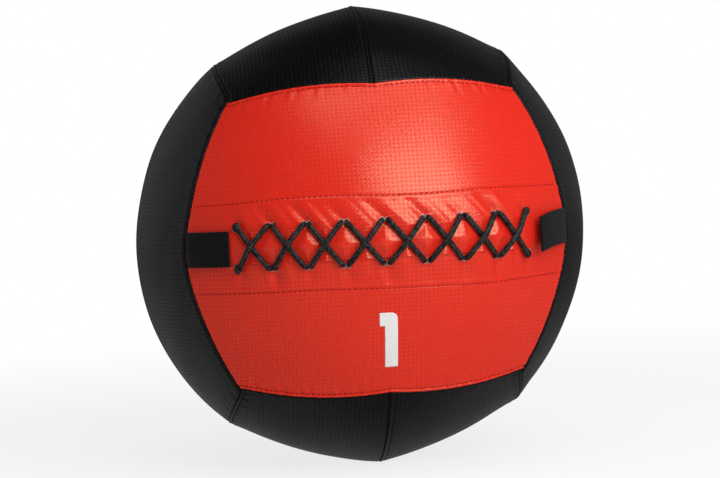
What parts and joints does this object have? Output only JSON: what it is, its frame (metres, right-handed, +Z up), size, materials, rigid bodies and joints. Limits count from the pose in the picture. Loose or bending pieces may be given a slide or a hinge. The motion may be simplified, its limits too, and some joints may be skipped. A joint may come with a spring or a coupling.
{
  "type": "wall ball",
  "caption": "Large soft medicine ball of sewn vinyl panels, with a laced closure across the front and a webbing tab at each end of the lacing.",
  "frame": {"origin": "on the floor, under the middle of the ball's bounding box", "axes": "+Z up, -Y out of the laced front, +X to the right of someone who faces the lacing"},
  "size_m": [0.3532, 0.3634, 0.353],
  "materials": {
    "red_vinyl": "satin",
    "black_vinyl": "satin",
    "backing_cloth": "matte",
    "lace_cord": "matte",
    "webbing": "matte",
    "foam": "matte",
    "liner_cloth": "matte",
    "stuffing_fibre": "matte"
  },
  "bodies": {
    "ball": {"front_upper_panel": "red_vinyl", "front_lower_panel": "red_vinyl", "back_upper_panel": "red_vinyl", "back_lower_panel": "red_vinyl", "cover_strip": "red_vinyl", "top_left_panel": "black_vinyl", "top_right_panel": "black_vinyl", "bottom_left_panel": "black_vinyl", "bottom_right_panel": "black_vinyl", "left_front_panel": "black_vinyl", "left_back_panel": "black_vinyl", "right_front_panel": "black_vinyl", "right_back_panel": "black_vinyl", "upper_facing": "backing_cloth", "lower_facing": "backing_cloth", "lace": "lace_cord", "front_upper_pad": "foam", "front_lower_pad": "foam", "back_pad": "foam", "top_pad": "foam", "bottom_pad": "foam", "left_pad": "foam", "right_pad": "foam", "liner_bag": "liner_cloth", "stuffing": "stuffing_fibre"},
    "left_tab": {"left_webbing_tab": "webbing"},
    "right_tab": {"right_webbing_tab": "webbing"}
  },
  "joints": [
    {"name": "left_tab_bend", "type": "hinge", "parent": "ball", "child": "left_tab", "pos_m": [-0.13963, -0.1064, 0.17471], "axis": [0, 0, -1], "range_deg": [0, 70]},
    {"name": "right_tab_bend", "type": "hinge", "parent": "ball", "child": "right_tab", "pos_m": [0.13963, -0.1064, 0.17471], "axis": [0, 0, 1], "range_deg": [-7, 62]}
  ]
}
